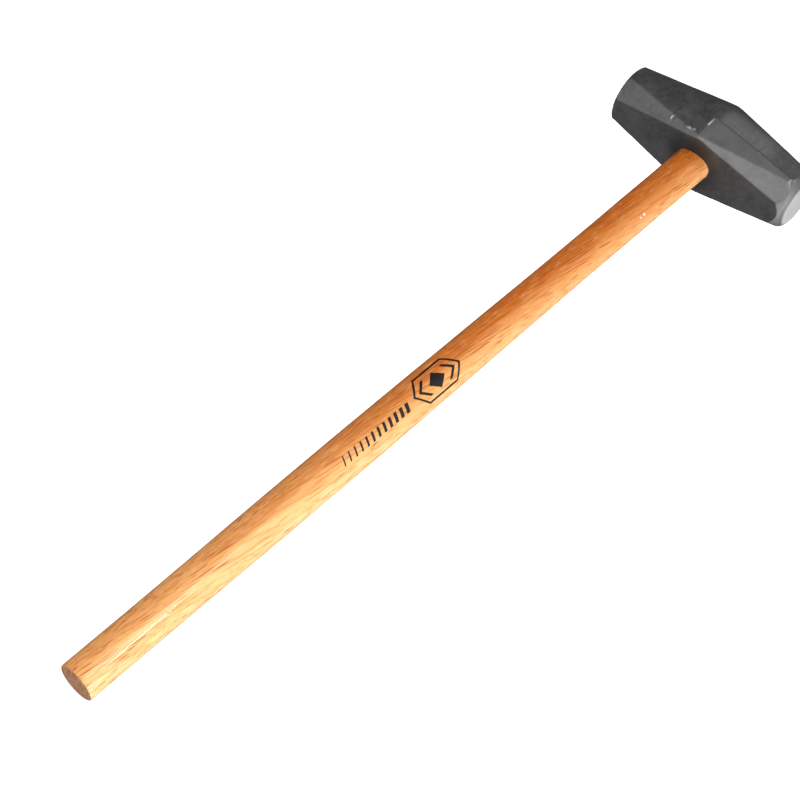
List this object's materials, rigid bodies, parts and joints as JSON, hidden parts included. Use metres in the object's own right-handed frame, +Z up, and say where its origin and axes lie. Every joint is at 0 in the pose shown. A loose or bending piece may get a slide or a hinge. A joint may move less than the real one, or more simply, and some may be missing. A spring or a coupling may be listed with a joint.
{
  "type": "sledgehammer",
  "caption": "Double-faced sledgehammer: octagonal forged head with ground striking faces on a straight varnished wooden handle, wedged in an oval eye.",
  "frame": {"origin": "on the floor under the middle of the head, on the handle's axis, with the tool standing on the wedge side of its head", "axes": "+Z up along the handle from head to butt; +X from the middle of the head towards one striking face; +Y towards one cheek"},
  "size_m": [0.223, 0.0852, 0.9144],
  "materials": {
    "forged_steel": "dark forging skin under thin lacquer, satin; ground bright on the bevels and striking faces",
    "varnished_wood": "clear glossy varnish over straight-grained hardwood; bare sawn grain at the butt",
    "wedge_wood": "unfinished hardwood",
    "wedge_steel": "bright mild steel, lightly hammered",
    "print_ink": "black printing ink"
  },
  "bodies": {
    "root": {"head": "forged_steel", "handle": "varnished_wood", "wood_wedge": "wedge_wood", "steel_wedge_left": "wedge_steel", "steel_wedge_right": "wedge_steel"}
  },
  "joints": []
}
